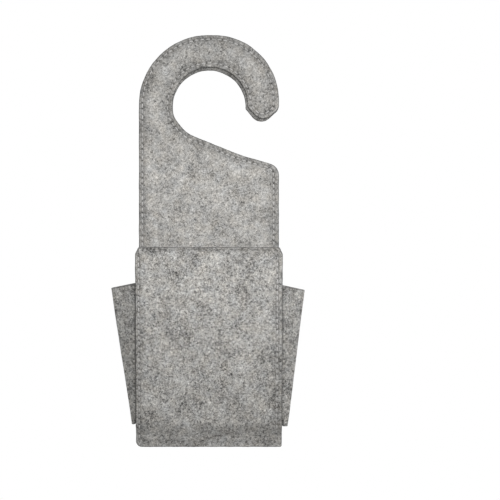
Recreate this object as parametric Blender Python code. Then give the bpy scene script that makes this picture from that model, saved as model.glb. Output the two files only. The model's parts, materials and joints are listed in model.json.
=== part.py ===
# Felt hanging organizer: a doubled felt back panel cut into a hook at the top, with one felt
# pocket on its front that opens on folded side gussets.
# Metres, +Z up. The front faces -Y. The origin is the centre of the hook's round end, on the
# back face that lies against a door.

import math

import bmesh
import bpy
from mathutils import Matrix, Vector

# Felt, thread and clearances
FELT = 0.003
LAYER_GAP = 0.0003
THREAD_WIDTH = 0.0009
THREAD_HEIGHT = 0.0005
STITCH_PITCH = 0.0049
THREAD_NECK_SHARE = 0.4
SEAM_INSET = 0.0036
GROOVE_WIDTH = 0.0017
GROOVE_DEPTH = 0.0011

# Back panel and hook
PANEL_WIDTH = 0.119
EYE_TO_BOTTOM = 0.2904
RIGHT_ROUND_SHARE = 0.933
EYE_RADIUS = 0.031
EYE_SHIFT = 0.0002
EYE_RISE = -0.0025
BOTTOM_LEFT_RADIUS = 0.005
BOTTOM_RIGHT_RADIUS = 0.0015

# The front layer's eye and tip are cut back from the rear layer's, which shows behind them
EYE_OVERCUT = 0.0008
EYE_OVERCUT_ACROSS = 0.0008
EYE_OVERCUT_UP = 0.0029
TIP_OVERCUT_ACROSS = 0.0009
TIP_OVERCUT_UP = 0.0032

# The hook's tip: how far its side corners lie below the round, their radii as shares of that
# drop, and its end corner as shares of the width of the hook's arm
TIP_OUTER_DROP = 0.0038
TIP_INNER_DROP = 0.0016
TIP_OUTER_RADIUS_SHARE = 1.9
TIP_INNER_RADIUS_SHARE = 1.5
TIP_END_ACROSS_SHARE = 0.44
TIP_END_DROP_SHARE = 0.647
TIP_END_RADIUS_SHARE = 0.336

# The throat and shoulder below the eye, as shares of the eye's radius, and the place of the
# shoulder's slight bend as a share of the hook's radius
THROAT_DROP_SHARE = 0.228
THROAT_RADIUS_SHARE = 0.384
SHOULDER_START_SHARES = (-0.616, -0.773, 0.192)
SHOULDER_BEND_DROP_SHARE = 1.378
SHOULDER_BEND_RADIUS_SHARE = 4.8
SHOULDER_END_DROP_SHARE = 1.674
SHOULDER_END_RADIUS_SHARE = 0.257
SHOULDER_BEND_ACROSS_SHARE = 0.444

# Pocket
POCKET_OVERHANG = 0.0023
POCKET_LENGTH = 0.1662
POCKET_LEAN = math.radians(11.5)
HINGE_RISE = 0.00735
POCKET_SEAM_RISE = 0.0041
MOUTH_SEAM_INSET = 0.0028
BELLY_LENGTH = 0.016
BELLY_ROWS = 8
HINGE_GAP = 0.0004
CORNER_CUT_ACROSS = 0.0028
CORNER_CUT_DOWN = 0.006
CORNER_CUT_RADIUS = 0.002

# Gussets: each side is one felt trapezoid folded once, with a sewn flange along both long edges
GUSSET_HALF_ANGLE = math.radians(9.43)
GUSSET_FOLD_LENGTH = 0.1291
GUSSET_FOOT = 0.0117
FRONT_TOP_SLANT = math.radians(5)
FLANGE_WIDTH = 0.0095
FLANGE_FOOT = 0.0165
EDGE_GAP = 0.0002
FOLD_GAP = 0.0004
FOLD_OPEN_ALLOWANCE = math.radians(26)

LEAST_CORNER_RADIUS = 0.0005
ARC_STEP = math.radians(7.5)
SAME_POINT = 0.00001
SMOOTH_BELOW = math.radians(30)

# Planes that the sizes above give, front faces towards -Y
REAR_LAYER_FRONT = -FELT
FRONT_LAYER_BACK = REAR_LAYER_FRONT - LAYER_GAP
FRONT_LAYER_FRONT = FRONT_LAYER_BACK - FELT
FLANGE_BACK = FRONT_LAYER_FRONT - LAYER_GAP
FLANGE_FRONT = FLANGE_BACK - FELT
HINGE_Y = FLANGE_FRONT - LAYER_GAP / 2
HINGE_Z = HINGE_RISE - EYE_TO_BOTTOM
HOOK_RADIUS = PANEL_WIDTH / 2
HOOK_ARM = HOOK_RADIUS - EYE_SHIFT - EYE_RADIUS
HINGE_X = HOOK_RADIUS + POCKET_OVERHANG
FLANGE_SEAM_INSET = POCKET_OVERHANG + SEAM_INSET

# Depths in the pocket's own frame, counted forward from the hinge line
FRONT_FLANGE_BACK = LAYER_GAP / 2
FRONT_FLANGE_FRONT = FRONT_FLANGE_BACK + FELT
POCKET_BACK = FRONT_FLANGE_FRONT + LAYER_GAP
POCKET_MIDDLE = POCKET_BACK + FELT / 2
SEWN_MIDDLE = -LAYER_GAP / 2 - FELT / 2


def remove_startup_objects():
    for leftover in list(bpy.data.objects):
        bpy.data.objects.remove(leftover, do_unlink=True)


def make_material(name, colour, roughness):
    material = bpy.data.materials.new(name)
    material.use_nodes = True
    shader = material.node_tree.nodes["Principled BSDF"]
    shader.inputs["Base Color"].default_value = (*colour, 1)
    shader.inputs["Roughness"].default_value = roughness
    shader.inputs["Metallic"].default_value = 0
    return material


def add_object(name, mesh_data, material, parent=None):
    """Turn a finished bmesh into a named object, closed and with its faces pointing out."""
    bmesh.ops.recalc_face_normals(mesh_data, faces=mesh_data.faces)
    mesh = bpy.data.meshes.new(name)
    mesh_data.to_mesh(mesh)
    mesh_data.free()
    mesh.shade_smooth()
    mesh.set_sharp_from_angle(angle=SMOOTH_BELOW)
    mesh.materials.append(material)
    thing = bpy.data.objects.new(name, mesh)
    bpy.context.scene.collection.objects.link(thing)
    thing.parent = parent
    return thing


def add_axis(name, place, parent=None):
    """An empty whose origin and axes are those of a joint or of a seam line."""
    axis = bpy.data.objects.new(name, None)
    bpy.context.scene.collection.objects.link(axis)
    axis.empty_display_size = FLANGE_WIDTH
    axis.parent = parent
    axis.matrix_local = place
    return axis


def loft(name, rings, material, parent):
    """A closed solid through two or more rings of matching points."""
    mesh_data = bmesh.new()
    rows = [[mesh_data.verts.new(point) for point in ring] for ring in rings]
    mesh_data.faces.new(rows[0])
    mesh_data.faces.new(rows[-1])
    for lower, upper in zip(rows, rows[1:]):
        for index in range(len(lower)):
            after = (index + 1) % len(lower)
            mesh_data.faces.new((lower[index], lower[after], upper[after], upper[index]))
    return add_object(name, mesh_data, material, parent)


# Flat outlines


def inset_corners(corners, inset):
    """Move every side of a clockwise outline inwards, and change the corner radii to match."""
    moved = []
    for index, (x, z, radius) in enumerate(corners):
        before = Vector(corners[index - 1][:2])
        after = Vector(corners[(index + 1) % len(corners)][:2])
        here = Vector((x, z))
        way_in = (here - before).normalized()
        way_out = (after - here).normalized()
        inward_in = Vector((way_in.y, -way_in.x))
        inward_out = Vector((way_out.y, -way_out.x))
        middle = inward_in + inward_out
        corner = here + middle * (2 * inset / middle.length_squared)
        convex = way_in.x * way_out.y - way_in.y * way_out.x < 0
        new_radius = radius - inset if convex else radius + inset
        moved.append((corner.x, corner.y, max(new_radius, LEAST_CORNER_RADIUS)))
    return moved


def round_corners(corners):
    """Points of a closed outline whose corners are arcs of the given radii."""
    points = []
    for index, (x, z, radius) in enumerate(corners):
        before = Vector(corners[index - 1][:2])
        after = Vector(corners[(index + 1) % len(corners)][:2])
        here = Vector((x, z))
        way_in = (here - before).normalized()
        way_out = (after - here).normalized()
        turn = way_in.angle(way_out)
        side = math.copysign(1, way_in.x * way_out.y - way_in.y * way_out.x)
        start = here - way_in * radius * math.tan(turn / 2)
        centre = start + Vector((-way_in.y, way_in.x)) * side * radius
        steps = max(1, math.ceil(turn / ARC_STEP))
        for step in range(steps + 1):
            arm = (start - centre).copy()
            arm.rotate(Matrix.Rotation(side * turn * step / steps, 2))
            point = centre + arm
            if not points or (point - points[-1]).length > SAME_POINT:
                points.append(point)
    return points


def hook_corners(overcut):
    """Corners of one back layer, clockwise seen from the front, from the bottom left.

    With an overcut of 1 the eye and the tip are cut back as on the front layer, with 0 not at all."""
    radius = EYE_RADIUS + EYE_OVERCUT * overcut
    shift = EYE_SHIFT + EYE_OVERCUT_ACROSS * overcut
    rise = EYE_RISE + EYE_OVERCUT_UP * overcut
    tip_end_x = HOOK_RADIUS - HOOK_ARM * (1 - TIP_END_ACROSS_SHARE) + TIP_OVERCUT_ACROSS * overcut
    tip_end_z = -HOOK_ARM * TIP_END_DROP_SHARE + TIP_OVERCUT_UP * overcut
    start_x, start_z, start_radius = (EYE_RADIUS * share for share in SHOULDER_START_SHARES)
    bend_x = HOOK_RADIUS * SHOULDER_BEND_ACROSS_SHARE
    return [
        (-HOOK_RADIUS, -EYE_TO_BOTTOM, BOTTOM_LEFT_RADIUS),
        (-HOOK_RADIUS, HOOK_RADIUS, HOOK_RADIUS),
        (HOOK_RADIUS, HOOK_RADIUS, HOOK_RADIUS * RIGHT_ROUND_SHARE),
        (HOOK_RADIUS, -TIP_OUTER_DROP, TIP_OUTER_DROP * TIP_OUTER_RADIUS_SHARE),
        (tip_end_x, tip_end_z, HOOK_ARM * TIP_END_RADIUS_SHARE),
        (shift + radius, rise - TIP_INNER_DROP, TIP_INNER_DROP * TIP_INNER_RADIUS_SHARE),
        (shift + radius, rise + radius, radius),
        (shift - radius, rise + radius, radius),
        (shift - radius, -EYE_RADIUS * THROAT_DROP_SHARE, EYE_RADIUS * THROAT_RADIUS_SHARE),
        (start_x, start_z, start_radius),
        (bend_x, -EYE_RADIUS * SHOULDER_BEND_DROP_SHARE, EYE_RADIUS * SHOULDER_BEND_RADIUS_SHARE),
        (HOOK_RADIUS, -EYE_RADIUS * SHOULDER_END_DROP_SHARE, EYE_RADIUS * SHOULDER_END_RADIUS_SHARE),
        (HOOK_RADIUS, -EYE_TO_BOTTOM, BOTTOM_RIGHT_RADIUS),
    ]


FRONT_LAYER_CORNERS = hook_corners(1)
REAR_LAYER_CORNERS = hook_corners(0)


def make_layer(name, corners, front, back, material):
    """One layer of the back panel: its outline, front face first, pulled back by its thickness."""
    mesh_data = bmesh.new()
    outline = [mesh_data.verts.new((point.x, front, point.y)) for point in round_corners(corners)]
    face = mesh_data.faces.new(outline)
    pulled = bmesh.ops.extrude_face_region(mesh_data, geom=[face])
    moved = [item for item in pulled["geom"] if isinstance(item, bmesh.types.BMVert)]
    bmesh.ops.translate(mesh_data, verts=moved, vec=(0, back - front, 0))
    return add_object(name, mesh_data, material)


# Stitches


def walk(points, distance):
    """The point that lies this far along a line of points."""
    for before, after in zip(points, points[1:]):
        length = (after - before).length
        if distance <= length:
            return before.lerp(after, distance / length)
        distance -= length
    return points[-1]


def sew(name, points, outward_at, material, parent=None):
    """A seam's thread along a line of points: one hump for each stitch, drawn in at each hole."""
    length = sum((after - before).length for before, after in zip(points, points[1:]))
    count = max(1, round(length / STITCH_PITCH))
    rings = []
    for index in range(2 * count + 1):
        share = THREAD_NECK_SHARE if index % 2 == 0 else 1
        here = walk(points, length * index / (2 * count))
        ahead = walk(points, length * min(index + 1, 2 * count) / (2 * count))
        behind = walk(points, length * max(index - 1, 0) / (2 * count))
        outward = outward_at(here).normalized()
        side = (ahead - behind).cross(outward).normalized() * THREAD_WIDTH / 2 * share
        base = here + outward * LAYER_GAP
        rings.append([base - side, base + side, base + outward * THREAD_HEIGHT * share])
    return loft(name, rings, material, parent)


def sew_panel_edge(material):
    """The visible edge seam: up the left side, round the hook and down to the right gusset."""
    loop = round_corners(inset_corners(FRONT_LAYER_CORNERS, SEAM_INSET))
    low_end = HINGE_Z + flange_top(-FLANGE_WIDTH) + STITCH_PITCH
    path = [Vector((point.x, FRONT_LAYER_FRONT, point.y)) for point in loop if point.y > low_end]
    path.insert(0, Vector((path[0].x, FRONT_LAYER_FRONT, low_end)))
    path.append(Vector((path[-1].x, FRONT_LAYER_FRONT, low_end)))
    return sew("panel_edge_stitches", path, lambda middle: Vector((0, -1, 0)), material)


def cut_rear_groove(layer):
    """The groove that the seam's tight thread presses into the back face, all round the edge."""
    outer = round_corners(inset_corners(REAR_LAYER_CORNERS, SEAM_INSET - GROOVE_WIDTH / 2))
    inner = round_corners(inset_corners(REAR_LAYER_CORNERS, SEAM_INSET + GROOVE_WIDTH / 2))
    mesh_data = bmesh.new()
    rows = []
    for near, far in zip(outer, inner):
        corners = ((near, GROOVE_DEPTH), (near, -GROOVE_DEPTH), (far, -GROOVE_DEPTH), (far, GROOVE_DEPTH))
        rows.append([mesh_data.verts.new((point.x, depth, point.y)) for point, depth in corners])
    for row, following in zip(rows, rows[1:] + rows[:1]):
        for index in range(len(row)):
            after = (index + 1) % len(row)
            mesh_data.faces.new((row[index], row[after], following[after], following[index]))
    cutter = add_object("rear_groove_cutter", mesh_data, layer.data.materials[0])
    cutter.hide_render = True
    cutter.display_type = "WIRE"
    groove = layer.modifiers.new("thread_groove", "BOOLEAN")
    groove.operation = "DIFFERENCE"
    groove.solver = "EXACT"
    groove.object = cutter


def sew_rear_face(material):
    """The under thread of the edge seam, sunk in its groove so that the back face stays flat."""
    loop = round_corners(inset_corners(REAR_LAYER_CORNERS, SEAM_INSET))
    path = [Vector((point.x, -GROOVE_DEPTH, point.y)) for point in loop]
    path.append(path[0] + (path[-1] - path[0]).normalized() * STITCH_PITCH)
    return sew("rear_face_stitches", path, lambda middle: Vector((0, 1, 0)), material)


# Pocket sheet: across, along and depth in the leaning frame of the hinge line


def belly(length):
    """How far forward the pocket sheet's middle lies, this far up from the hinge line."""
    share = min(max(length / BELLY_LENGTH, 0), 1)
    blend = share * share * (3 - 2 * share)
    return SEWN_MIDDLE + (POCKET_MIDDLE - SEWN_MIDDLE) * blend


def belly_normal(length):
    """The pocket sheet's outward direction there, as (depth, along)."""
    share = min(max(length / BELLY_LENGTH, 0), 1)
    slope = (POCKET_MIDDLE - SEWN_MIDDLE) / BELLY_LENGTH * (6 * share - 6 * share * share)
    size = math.hypot(1, slope)
    return 1 / size, -slope / size


def sheet_point(across, length, height):
    """A point of the pocket sheet, this far in front of its middle surface."""
    depth_part, along_part = belly_normal(length)
    depth = belly(length) + height * depth_part
    return Vector((across, -depth, length + height * along_part))


def make_pocket_sheet(name, corners, row_lengths, material, parent):
    """A felt sheet cut to an outline, then bent forward along its belly."""
    mesh_data = bmesh.new()
    outline = [mesh_data.verts.new((point.x, 0, point.y)) for point in round_corners(corners)]
    mesh_data.faces.new(outline)
    for length in row_lengths:
        everything = mesh_data.verts[:] + mesh_data.edges[:] + mesh_data.faces[:]
        bmesh.ops.bisect_plane(mesh_data, geom=everything, plane_co=(0, 0, length), plane_no=(0, 0, 1))
    flat = mesh_data.verts[:]
    pulled = bmesh.ops.extrude_face_region(mesh_data, geom=mesh_data.faces[:])
    back = [item for item in pulled["geom"] if isinstance(item, bmesh.types.BMVert)]
    for vert in flat:
        vert.co = sheet_point(vert.co.x, vert.co.z, FELT / 2)
    for vert in back:
        vert.co = sheet_point(vert.co.x, vert.co.z, -FELT / 2)
    return add_object(name, mesh_data, material, parent)


def make_pocket_front(material, leaning):
    cut_z = POCKET_LENGTH - CORNER_CUT_DOWN
    cut_x = HINGE_X - CORNER_CUT_ACROSS
    corners = [
        (-HINGE_X, HINGE_GAP / 2, 0),
        (-HINGE_X, cut_z, CORNER_CUT_RADIUS),
        (-cut_x, POCKET_LENGTH, CORNER_CUT_RADIUS),
        (cut_x, POCKET_LENGTH, CORNER_CUT_RADIUS),
        (HINGE_X, cut_z, CORNER_CUT_RADIUS),
        (HINGE_X, HINGE_GAP / 2, 0),
    ]
    rows = [BELLY_LENGTH * row / BELLY_ROWS for row in range(1, BELLY_ROWS + 1)]
    return make_pocket_sheet("pocket_front_panel", corners, rows, material, leaning)


def make_pocket_hem(material, upright):
    """The strip below the bend, sewn flat on the back panel."""
    corners = [
        (-HINGE_X, -HINGE_RISE, BOTTOM_LEFT_RADIUS),
        (-HINGE_X, -HINGE_GAP / 2, 0),
        (HINGE_X, -HINGE_GAP / 2, 0),
        (HINGE_X, -HINGE_RISE, BOTTOM_RIGHT_RADIUS),
    ]
    return make_pocket_sheet("pocket_bottom_hem", corners, [], material, upright)


def sew_pocket(material, upright, leaning):
    forward = Vector((0, -1, 0))
    seam_x = HINGE_X - SEAM_INSET
    seam_start = HINGE_GAP / 2 + STITCH_PITCH / 2
    seam_top = POCKET_LENGTH - MOUTH_SEAM_INSET
    rows = [seam_start + (BELLY_LENGTH - seam_start) * row / BELLY_ROWS for row in range(BELLY_ROWS + 1)]
    rows.append(seam_top - STITCH_PITCH)

    def outward_at(middle):
        depth_part, along_part = belly_normal(middle.z)
        return Vector((0, -depth_part, along_part))

    for side_name, side in (("left", -1), ("right", 1)):
        points = [sheet_point(side * seam_x, length, FELT / 2) for length in rows]
        sew(side_name + "_pocket_side_stitches", points, outward_at, material, leaning)
    mouth_x = seam_x - STITCH_PITCH / 2
    mouth = [sheet_point(side * mouth_x, seam_top, FELT / 2) for side in (-1, 1)]
    sew("pocket_mouth_stitches", mouth, lambda middle: forward, material, leaning)
    bottom_x = seam_x - STITCH_PITCH / 2
    bottom = [sheet_point(side * bottom_x, POCKET_SEAM_RISE - HINGE_RISE, FELT / 2) for side in (-1, 1)]
    sew("pocket_bottom_stitches", bottom, lambda middle: forward, material, upright)


# Gussets


def flange_top(offset, slant=0):
    """Height of the gusset's cut top above the hinge line, this far out from the seam.

    The slant is how far the cut rises from square to the fold."""
    turned = GUSSET_HALF_ANGLE + slant
    seam_length = GUSSET_FOLD_LENGTH * math.cos(slant) / math.cos(turned)
    return seam_length - offset * math.tan(turned)


def make_flange(name, side, back, front, slant, groove, material, parent):
    """A sewn gusset flange: a felt strip beside the seam line, with or without a thread groove."""
    outer = HINGE_X - EDGE_GAP
    inner = HINGE_X - FLANGE_WIDTH
    groove_x = HINGE_X - FLANGE_SEAM_INSET
    section = [(outer, back), (inner, back), (inner, front)]
    if groove:
        floor = front - math.copysign(GROOVE_DEPTH, front - back)
        section.append((groove_x - GROOVE_WIDTH / 2, front))
        section.append((groove_x - GROOVE_WIDTH / 2, floor))
        section.append((groove_x + GROOVE_WIDTH / 2, floor))
        section.append((groove_x + GROOVE_WIDTH / 2, front))
    section.append((outer, front))
    low = [(side * x, -depth, FLANGE_FOOT) for x, depth in section]
    high = [(side * x, -depth, flange_top(x - HINGE_X, slant)) for x, depth in section]
    return loft(name, [low, high], material, parent)


def leaf_ring(length, slant, mirror):
    """Section of a gusset leaf at this length of its fold: across to the seam, outward, along."""
    width = length * math.tan(GUSSET_HALF_ANGLE) - EDGE_GAP
    half_fold = math.asin(math.sin(POCKET_LEAN / 2) / math.sin(GUSSET_HALF_ANGLE))
    span = math.pi / 2 - half_fold - FOLD_OPEN_ALLOWANCE / 2
    steps = max(1, math.ceil(span / ARC_STEP / 2))
    ring = [(FOLD_GAP, 0), (width, 0), (width, FELT)]
    for step in range(steps + 1):
        angle = span * step / steps
        ring.append((-FELT * math.sin(angle), FELT * math.cos(angle)))
    rise = math.tan(slant)
    return [(across, mirror * outward, length + across * rise) for across, outward in ring]


def make_gusset(side_name, side, felt, thread, upright, leaning):
    """One side of the pocket: two flanges, two leaves and the seam on the back panel."""
    seam_depth = HINGE_Y - FLANGE_FRONT
    rear_flange_back = seam_depth - FELT
    name = side_name + "_gusset_rear_flange"
    make_flange(name, side, rear_flange_back, seam_depth, 0, True, felt, upright)
    name = side_name + "_gusset_front_flange"
    flange_depths = (FRONT_FLANGE_BACK, FRONT_FLANGE_FRONT)
    make_flange(name, side, *flange_depths, FRONT_TOP_SLANT, False, felt, leaning)
    groove_depth = seam_depth - GROOVE_DEPTH
    groove_x = side * (HINGE_X - FLANGE_SEAM_INSET)
    seam_low = Vector((groove_x, -groove_depth, FLANGE_FOOT + STITCH_PITCH / 2))
    seam_high = Vector((groove_x, -groove_depth, flange_top(0) - STITCH_PITCH / 2))
    forward = Vector((0, -1, 0))
    name = side_name + "_gusset_rear_stitches"
    sew(name, [seam_low, seam_high], lambda middle: forward, thread, upright)

    rear_edge = Vector((0, 0, 1))
    front_edge = Vector((0, -math.sin(POCKET_LEAN), math.cos(POCKET_LEAN)))
    bisector = (rear_edge + front_edge).normalized()
    spread = math.acos(math.cos(GUSSET_HALF_ANGLE) / math.cos(POCKET_LEAN / 2))
    fold = bisector * math.cos(spread) + Vector((side, 0, 0)) * math.sin(spread)
    foot = Vector((side * HINGE_X, HINGE_Y, HINGE_Z))
    for leaf_name, edge, slant in (("rear", rear_edge, 0), ("front", front_edge, FRONT_TOP_SLANT)):
        across = (edge - fold * edge.dot(fold)).normalized()
        across_y = fold.cross(across)
        other = front_edge if edge is rear_edge else rear_edge
        mirror = -1 if across_y.dot(other) > 0 else 1
        turned = Matrix((across, across_y, fold)).transposed().to_4x4()
        axis = add_axis(f"{side_name}_gusset_{leaf_name}_axis", Matrix.Translation(foot) @ turned)
        rings = [leaf_ring(GUSSET_FOOT, 0, mirror), leaf_ring(GUSSET_FOLD_LENGTH, slant, mirror)]
        loft(f"{side_name}_gusset_{leaf_name}_leaf", rings, felt, axis)


def main():
    remove_startup_objects()
    felt = make_material("grey_felt", (0.36, 0.353, 0.335), 0.95)
    gusset_felt = make_material("shaded_felt", (0.3, 0.294, 0.28), 0.95)
    thread = make_material("grey_thread", (0.5, 0.495, 0.48), 0.7)

    make_layer("back_panel_front_layer", FRONT_LAYER_CORNERS, FRONT_LAYER_FRONT, FRONT_LAYER_BACK, felt)
    rear_layer = make_layer("back_panel_rear_layer", REAR_LAYER_CORNERS, REAR_LAYER_FRONT, 0, felt)
    cut_rear_groove(rear_layer)
    sew_panel_edge(thread)
    sew_rear_face(thread)

    hinge_place = Matrix.Translation((0, HINGE_Y, HINGE_Z))
    upright = add_axis("pocket_seam_line", hinge_place)
    leaning = add_axis("pocket_hinge_line", hinge_place @ Matrix.Rotation(POCKET_LEAN, 4, "X"))
    make_pocket_hem(felt, upright)
    make_pocket_front(felt, leaning)
    sew_pocket(thread, upright, leaning)
    for side_name, side in (("left", -1), ("right", 1)):
        make_gusset(side_name, side, gusset_felt, thread, upright, leaning)


main()
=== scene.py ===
# The felt hanging organizer's looks: felt sheets with cut edges, pressed seams and sewn thread.
# Metres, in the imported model's own frame. The front faces -Y, +X is to the right, +Z is up.

import json
import math
import random

import bmesh
import bpy
import numpy as np
from mathutils import Matrix, Vector, geometry, kdtree, noise


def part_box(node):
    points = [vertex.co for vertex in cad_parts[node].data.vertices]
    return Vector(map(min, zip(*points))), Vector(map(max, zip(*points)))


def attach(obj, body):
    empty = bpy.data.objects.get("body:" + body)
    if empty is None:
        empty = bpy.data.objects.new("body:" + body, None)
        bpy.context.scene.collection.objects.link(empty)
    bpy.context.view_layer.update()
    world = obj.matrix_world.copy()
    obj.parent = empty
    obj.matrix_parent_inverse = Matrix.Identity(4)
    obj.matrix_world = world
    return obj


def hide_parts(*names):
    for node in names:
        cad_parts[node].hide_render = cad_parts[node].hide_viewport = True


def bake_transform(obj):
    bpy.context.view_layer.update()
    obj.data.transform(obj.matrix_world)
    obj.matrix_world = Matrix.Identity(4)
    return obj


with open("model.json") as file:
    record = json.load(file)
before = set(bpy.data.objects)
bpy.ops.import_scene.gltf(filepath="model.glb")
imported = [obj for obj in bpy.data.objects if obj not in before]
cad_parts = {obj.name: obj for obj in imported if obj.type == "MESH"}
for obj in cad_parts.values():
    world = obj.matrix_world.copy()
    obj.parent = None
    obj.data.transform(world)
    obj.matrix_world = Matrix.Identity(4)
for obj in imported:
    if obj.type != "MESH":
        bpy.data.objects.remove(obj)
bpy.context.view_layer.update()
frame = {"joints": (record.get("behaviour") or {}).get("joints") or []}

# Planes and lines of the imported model
FRONT_LAYER_LOW, FRONT_LAYER_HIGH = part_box("back_panel_front_layer")
REAR_LAYER_LOW, REAR_LAYER_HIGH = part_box("back_panel_rear_layer")
JOINTS = {joint["name"]: joint for joint in frame["joints"]}
FELT = REAR_LAYER_HIGH.y - REAR_LAYER_LOW.y
LAYER_GAP = REAR_LAYER_LOW.y - FRONT_LAYER_HIGH.y
HOOK_RADIUS = REAR_LAYER_HIGH.x
PANEL_BOTTOM = REAR_LAYER_LOW.z
HINGE = Vector(JOINTS["pocket_front_tilt"]["pos_m"])
RIGHT_FOLD = Vector(JOINTS["right_gusset_fold"]["axis"])
HINGE_X = JOINTS["right_gusset_fold"]["pos_m"][0]
LEAN = 2 * math.atan2(-RIGHT_FOLD.y, RIGHT_FOLD.z)
GUSSET_HALF_ANGLE = math.acos(RIGHT_FOLD.z)

# Hook, as in the solids, but with the rear layer's eye 1 mm higher and three rounder corners
RIGHT_ROUND_SHARE = 0.933
EYE_RADIUS = 0.031
EYE_SHIFT = 0.0002
EYE_RISE = -0.0015
BOTTOM_LEFT_RADIUS = 0.005
BOTTOM_RIGHT_RADIUS = 0.0015
EYE_OVERCUT = 0.0008
EYE_OVERCUT_ACROSS = 0.0008
EYE_OVERCUT_UP = 0.0019
TIP_OVERCUT_ACROSS = 0.0009
TIP_OVERCUT_UP = 0.0032
TIP_OUTER_DROP = 0.0038
TIP_INNER_DROP = 0.0016
TIP_OUTER_RADIUS_SHARE = 1.9
TIP_INNER_RADIUS_SHARE = 1.5
TIP_END_ACROSS_SHARE = 0.44
TIP_END_DROP_SHARE = 0.647
TIP_END_RADIUS_SHARE = 0.336
THROAT_DROP_SHARE = 0.289
THROAT_RADIUS_SHARE = 0.53
# Across, up and radius of the corner below the eye, as shares of the eye's radius
SHOULDER_START_SHARES = (-0.617, -0.775, 0.88)
SHOULDER_BEND_ACROSS_SHARE = 0.444
SHOULDER_BEND_DROP_SHARE = 1.368
SHOULDER_BEND_RADIUS_SHARE = 4.8
SHOULDER_END_DROP_SHARE = 1.674
SHOULDER_END_RADIUS_SHARE = 0.33
HOOK_ARM = HOOK_RADIUS - EYE_SHIFT - EYE_RADIUS

# Pocket and gussets, as in the solids, but with the pocket 0.4 mm longer
POCKET_LENGTH = 0.1666
HINGE_RISE = HINGE.z - PANEL_BOTTOM
POCKET_SEAM_RISE = 0.0041
BELLY_LENGTH = 0.016
BEND_LENGTH = 0.003
CORNER_CUT_ACROSS = 0.0028
CORNER_CUT_DOWN = 0.006
CORNER_CUT_RADIUS = 0.002
POCKET_CROWN = 0.0012
GUSSET_FOLD_LENGTH = 0.1291
GUSSET_FOOT = 0.0117
FRONT_TOP_SLANT = math.radians(5)
FRONT_FLANGE_FOOT = 0.0165
FLANGE_WIDTH = 0.0095
SEWN_MIDDLE = -LAYER_GAP / 2 - FELT / 2
POCKET_MIDDLE = LAYER_GAP * 1.5 + FELT * 1.5

# Felt surface
EDGE_STEP = 0.0007
LEAST_ARC_STEPS = 3
EDGE_ROUND = 0.0007
ROUND_STEPS = 3
ROUNDING_SHARES = (0.0, 0.13, 0.5, 1.0)
GRID_STEP = 0.0016
GRID_NUDGE_SHARE = 0.2
GRID_CLEAR_SHARE = 0.6
SAME_POINT = 0.00001
LEAST_CORNER_RADIUS = 0.0005
SHARP_ANGLE = math.radians(50)
# How far in from the cut edge each ring of the detailed and of the plain face lies
DETAILED_INSETS = (0.0062, 0.0052, 0.0044, 0.0039, 0.0035, 0.0032, 0.0029, 0.0026, 0.0022, 0.0017, 0.0011)
PLAIN_INSETS = (0.0062, 0.003)
EDGE_WOBBLE = 0.00016
EDGE_WOBBLE_REACH = 0.0016
# Each wave's length and its height, or its share of the wobble
WOBBLE_WAVES = ((0.009, 1.0), (0.0023, 0.6))
RELIEF_WAVES = ((0.016, 0.00013), (0.0045, 0.00007), (0.0017, 0.00005))
FRONT_LAYER_SEED = 1.0
REAR_LAYER_SEED = 5.0
POCKET_SEED = 9.0
GUSSET_SEED = 13.0
# Painted shade, with the denser felt of a cut: how far in from a cut it reaches, and its shares at
# a sewn bend (shade in the crease), on the rear layer's rim (shade behind the front layer) and on the cut
# itself
CUT_FADE = 0.0009
CREASE_SHADE_SHARE = 0.6
RIM_SHADE_SHARE = 0.35
WALL_DENSITY_AND_SHADE_SHARE = 0.3

# Seams
STITCH_PITCH = 0.0049
SEAM_INSET = 0.0036
SEAM_SHIFT = -0.0008
MOUTH_SEAM_INSET = 0.0028
FLANGE_SEAM_INSET = HINGE_X - HOOK_RADIUS + SEAM_INSET
THREAD_HALF_WIDTH = 0.0005
THREAD_HALF_HEIGHT = 0.00038
THREAD_TWIST_LENGTH = 0.0021
THREAD_LOBE_SHARE = 0.16
THREAD_SIDES = 10
THREAD_SIDEWAYS = 0.00009
ROW_SUNK = 0.00035
PRESS_DEPTH = 0.0006
PRESS_REACH = 0.0015
# How far the painted shade of a seam's valley reaches, on most sheets and on the panel's front layer
PRESS_SHADE_REACH = 0.0032
PANEL_SHADE_REACH = 0.0046
# Past so many reaches a seam changes nothing
PRESS_END_REACHES = 3
LINE_POINTS_PER_STITCH = 8
HOLE_DEPTH = 0.001
HOLE_REACH = 0.0009
# Each hole's random strength, for its depth and for its painted shade
HOLE_SHARES = (0.3, 1.0)
STITCH_SUNK_SHARES = (0.0, 1.3)
STITCH_FULLNESS_SHARES = (0.8, 1.08)
STITCH_TONE_SHARES = (0.74, 1.04)
# Darker thread in the sunk mouth and bottom rows: painted shade of their groove
ROW_SHADE_TONE_SHARES = (0.5, 0.8)
# Along one stitch: share of its length, and the thread's height above the felt in half heights of it
STITCH_SHARES = (
    (0.0, -5.0), (0.07, -4.0), (0.13, -2.6), (0.18, -1.2), (0.23, 0.0),
    (0.3, 0.75), (0.4, 1.1), (0.5, 1.2), (0.6, 1.1), (0.7, 0.75),
    (0.77, 0.0), (0.82, -1.2), (0.87, -2.6), (0.93, -4.0), (1.0, -5.0),
)

# Gussets
# Radius of the felt's inner face at the fold and at the two sewn bends
FOLD_INNER_RADIUS = 0.0003
SEAM_INNER_RADIUS = 0.0008
# Share of the rear leaf's width that is in one piece with the rear flange
REAR_LEAF_SHARE = 0.1
# How much higher each gusset sits than in the solids, and how far its fold drifts out at foot and top
LEFT_GUSSET_RAISED = 0.0009
RIGHT_GUSSET_RAISED = -0.0009
LEFT_FOLD_DRIFTS = (-0.0009, 0.0009)
RIGHT_FOLD_DRIFTS = (0.0008, -0.0003)
GUSSET_TOP_ZONE = 0.03
GUSSET_ROW_STEP = 0.001
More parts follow.
